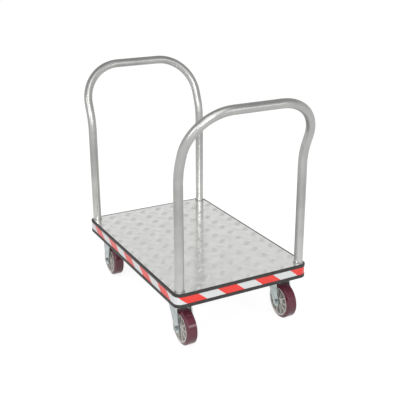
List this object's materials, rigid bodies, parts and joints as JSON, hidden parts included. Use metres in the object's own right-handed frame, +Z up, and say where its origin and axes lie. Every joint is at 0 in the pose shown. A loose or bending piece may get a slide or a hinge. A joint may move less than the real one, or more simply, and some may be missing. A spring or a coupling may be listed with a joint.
{
  "type": "platform truck",
  "caption": "Flat tread plate deck with a bent tube push handle at each end, a bumper with reflective tape round its edge, and swivel and rigid casters below, for moving loads by hand.",
  "frame": {"origin": "on the floor under the middle of the deck", "axes": "+Z up, +X along the deck towards the swivel casters, +Y to the left of that"},
  "size_m": [1.1264, 0.6256, 1.009],
  "materials": {
    "tread_plate": "mill finish tread plate",
    "handle_tube": "satin mill finish",
    "frame_aluminium": "mill finish",
    "bumper_rubber": "matte extruded rubber",
    "reflective_tape": "red and white reflective sheeting",
    "zinc_steel": "bright zinc plate",
    "bearing_steel": "ground steel",
    "polyurethane_tread": "glossy polyurethane",
    "wheel_hub": "as cast",
    "nylon_washer": "black nylon"
  },
  "bodies": {
    "chassis": {"bumper": "bumper_rubber", "caster_bolts": "zinc_steel", "caster_nuts": "zinc_steel", "deck_plate": "tread_plate", "front_bolster": "frame_aluminium", "front_handle": "handle_tube", "front_left_corner": "frame_aluminium", "front_left_swivel_balls": "bearing_steel", "front_left_top_plate": "zinc_steel", "front_rail": "frame_aluminium", "front_right_corner": "frame_aluminium", "front_right_swivel_balls": "bearing_steel", "front_right_top_plate": "zinc_steel", "kingpin_nuts": "zinc_steel", "kingpins": "zinc_steel", "left_rail": "frame_aluminium", "left_stiffener": "frame_aluminium", "rear_axle_bolts": "zinc_steel", "rear_axle_bushings": "bearing_steel", "rear_axle_nuts": "zinc_steel", "rear_bolster": "frame_aluminium", "rear_handle": "handle_tube", "rear_left_corner": "frame_aluminium", "rear_left_fork": "zinc_steel", "rear_left_top_plate": "zinc_steel", "rear_rail": "frame_aluminium", "rear_right_corner": "frame_aluminium", "rear_right_fork": "zinc_steel", "rear_right_top_plate": "zinc_steel", "reflective_tape": "reflective_tape", "right_rail": "frame_aluminium", "right_stiffener": "frame_aluminium"},
    "front_left_swivel": {"front_left_fork": "zinc_steel", "front_left_axle_bolt": "zinc_steel", "front_left_axle_nut": "zinc_steel", "front_left_axle_bushing": "bearing_steel"},
    "front_left_wheel": {"front_left_tread": "polyurethane_tread", "front_left_hub": "wheel_hub", "front_left_roller_bearing": "bearing_steel", "front_left_thrust_washers": "nylon_washer"},
    "front_right_swivel": {"front_right_fork": "zinc_steel", "front_right_axle_bolt": "zinc_steel", "front_right_axle_nut": "zinc_steel", "front_right_axle_bushing": "bearing_steel"},
    "front_right_wheel": {"front_right_tread": "polyurethane_tread", "front_right_hub": "wheel_hub", "front_right_roller_bearing": "bearing_steel", "front_right_thrust_washers": "nylon_washer"},
    "rear_left_wheel": {"rear_left_tread": "polyurethane_tread", "rear_left_hub": "wheel_hub", "rear_left_roller_bearing": "bearing_steel", "rear_left_thrust_washers": "nylon_washer"},
    "rear_right_wheel": {"rear_right_tread": "polyurethane_tread", "rear_right_hub": "wheel_hub", "rear_right_roller_bearing": "bearing_steel", "rear_right_thrust_washers": "nylon_washer"}
  },
  "joints": [
    {"name": "front_left_swivel_turn", "type": "hinge", "parent": "chassis", "child": "front_left_swivel", "pos_m": [0.355, 0.2405, 0.17], "axis": [0, 0, 1], "continuous": true},
    {"name": "front_left_wheel_spin", "type": "hinge", "parent": "front_left_swivel", "child": "front_left_wheel", "pos_m": [0.403, 0.2405, 0.0762], "axis": [0, 1, 0], "continuous": true},
    {"name": "front_right_swivel_turn", "type": "hinge", "parent": "chassis", "child": "front_right_swivel", "pos_m": [0.355, -0.2405, 0.17], "axis": [0, 0, 1], "continuous": true},
    {"name": "front_right_wheel_spin", "type": "hinge", "parent": "front_right_swivel", "child": "front_right_wheel", "pos_m": [0.403, -0.2405, 0.0762], "axis": [0, 1, 0], "continuous": true},
    {"name": "rear_left_wheel_spin", "type": "hinge", "parent": "chassis", "child": "rear_left_wheel", "pos_m": [-0.355, 0.2405, 0.0762], "axis": [0, 1, 0], "continuous": true},
    {"name": "rear_right_wheel_spin", "type": "hinge", "parent": "chassis", "child": "rear_right_wheel", "pos_m": [-0.355, -0.2405, 0.0762], "axis": [0, 1, 0], "continuous": true}
  ]
}
